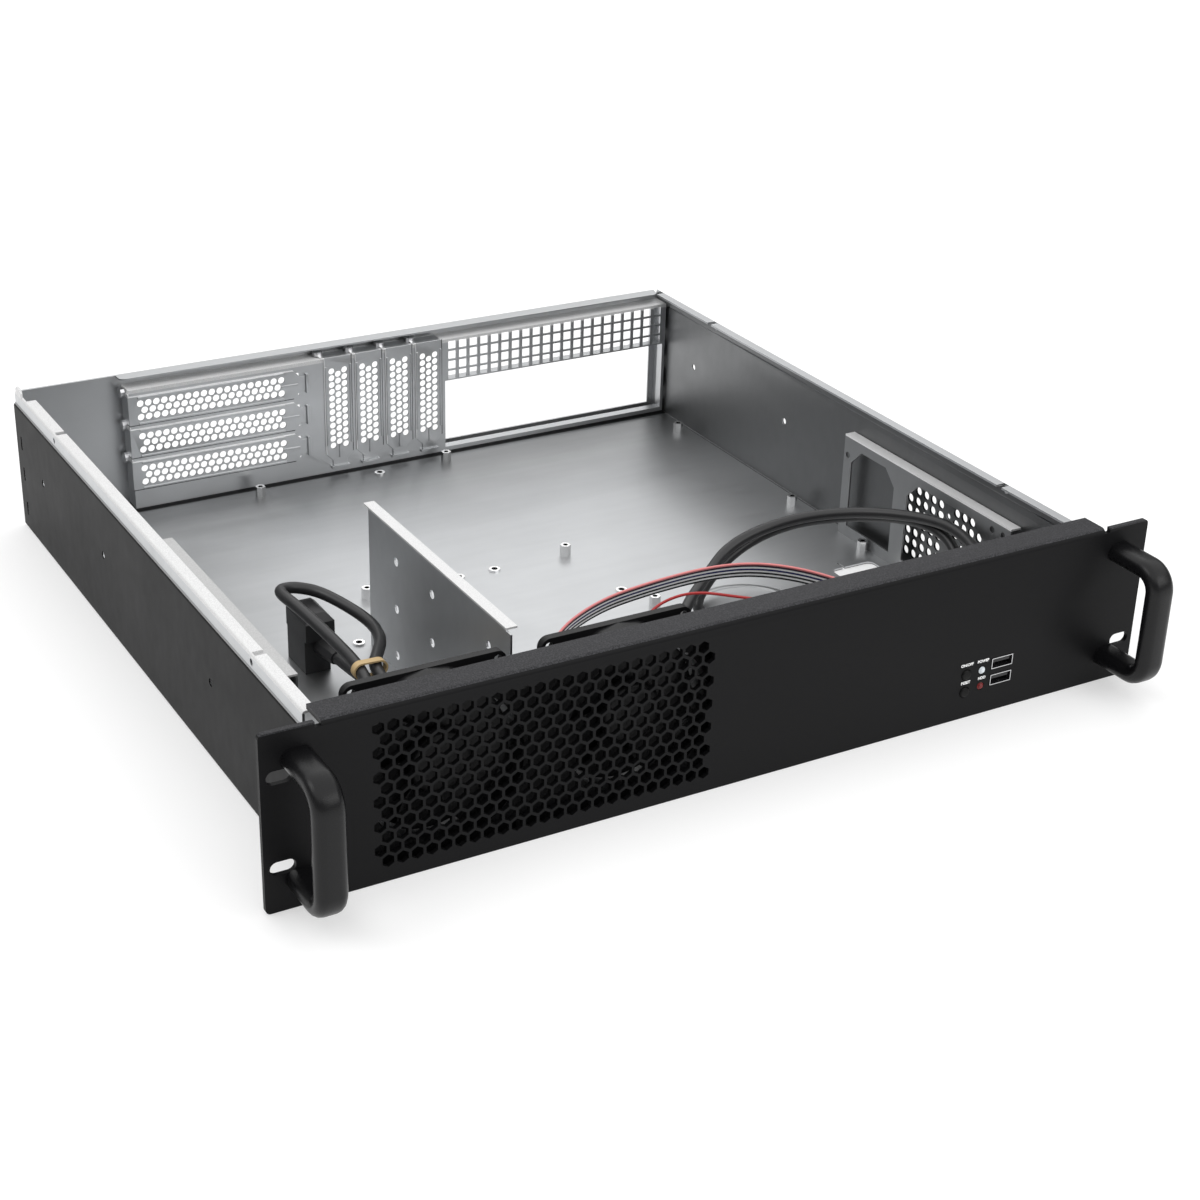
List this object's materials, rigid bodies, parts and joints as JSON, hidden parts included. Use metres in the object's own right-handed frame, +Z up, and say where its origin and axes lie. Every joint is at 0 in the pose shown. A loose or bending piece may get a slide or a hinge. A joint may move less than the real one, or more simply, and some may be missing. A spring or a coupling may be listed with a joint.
{
  "type": "empty rackmount server case",
  "caption": "Low rackmount server case with its lid off: hexagon grille, bow handles, fans, drive bay, card slots and a loose mains lead inside.",
  "frame": {"origin": "centre of the four rack slots, on the back face of the panel's ears", "axes": "+X to the right seen from the front, +Y to the rear, +Z up"},
  "size_m": [0.4826, 0.472, 0.0882],
  "materials": {
    "panel_black": "fine textured powder coat",
    "handle_black": "satin black coat on aluminium",
    "galvanised": "galvanised sheet, soft gradients; black outside on the tray's walls",
    "bright_steel": "zinc plated",
    "spacer_metal": "plated",
    "screw_black": "black oxide",
    "fan_plastic": "black moulded plastic",
    "button_plastic": "satin black",
    "board_green": "circuit board",
    "lamp_clear": "clear lamp",
    "lamp_red": "red lamp",
    "cord_rubber": "black jacket",
    "plug_rubber": "black moulded plug",
    "tie_tan": "paper covered wire tie",
    "ribbon": "coloured strands side by side",
    "wire_red": "red insulation"
  },
  "bodies": {
    "case": {"front_panel": "panel_black", "panel_nuts": "bright_steel", "left_handle": "handle_black", "right_handle": "handle_black", "handle_screws": "bright_steel", "base_tray": "galvanised", "board_spacers": "spacer_metal", "floor_nuts": "bright_steel", "rear_panel": "galvanised", "card_bracket": "galvanised", "slot_cover_screws": "bright_steel", "drive_bracket_left": "galvanised", "drive_divider": "galvanised", "supply_bracket": "galvanised", "bracket_rivets": "bright_steel", "fan_bulkhead": "panel_black", "fan_screws": "screw_black", "control_board": "board_green", "control_spacers": "spacer_metal", "button_switches": "fan_plastic", "mains_lead": "cord_rubber", "left_mains_plug": "plug_rubber", "right_mains_plug": "plug_rubber", "lead_tie": "tie_tan", "panel_ribbon": "ribbon", "ribbon_plug": "fan_plastic", "red_wire": "wire_red", "red_wire_plug": "fan_plastic", "power_lamp": "lamp_clear", "drive_lamp": "lamp_red", "usb_port_upper": "bright_steel", "usb_port_lower": "bright_steel", "upright_slot_cover_1": "galvanised", "upright_slot_cover_2": "galvanised", "upright_slot_cover_3": "galvanised", "upright_slot_cover_4": "galvanised", "flat_slot_cover_1": "galvanised", "flat_slot_cover_2": "galvanised", "flat_slot_cover_3": "galvanised", "left_fan_frame": "fan_plastic", "right_fan_frame": "fan_plastic"},
    "power_button_body": {"power_button": "button_plastic"},
    "reset_button_body": {"reset_button": "button_plastic"},
    "left_fan_rotor_body": {"left_fan_rotor": "fan_plastic"},
    "right_fan_rotor_body": {"right_fan_rotor": "fan_plastic"}
  },
  "joints": [
    {"name": "power_button_press", "type": "slide", "parent": "case", "child": "power_button_body", "axis": [0, 1, 0], "range_m": [0, 0.001], "stiffness_N_per_m": 600, "springref_m": -0.001},
    {"name": "reset_button_press", "type": "slide", "parent": "case", "child": "reset_button_body", "axis": [0, 1, 0], "range_m": [0, 0.001], "stiffness_N_per_m": 600, "springref_m": -0.001},
    {"name": "left_fan_spin", "type": "hinge", "parent": "case", "child": "left_fan_rotor_body", "pos_m": [-0.1505, 0.0195, -0.00115], "axis": [0, 1, 0], "continuous": true},
    {"name": "right_fan_spin", "type": "hinge", "parent": "case", "child": "right_fan_rotor_body", "pos_m": [-0.053, 0.0195, -0.00115], "axis": [0, 1, 0], "continuous": true}
  ]
}
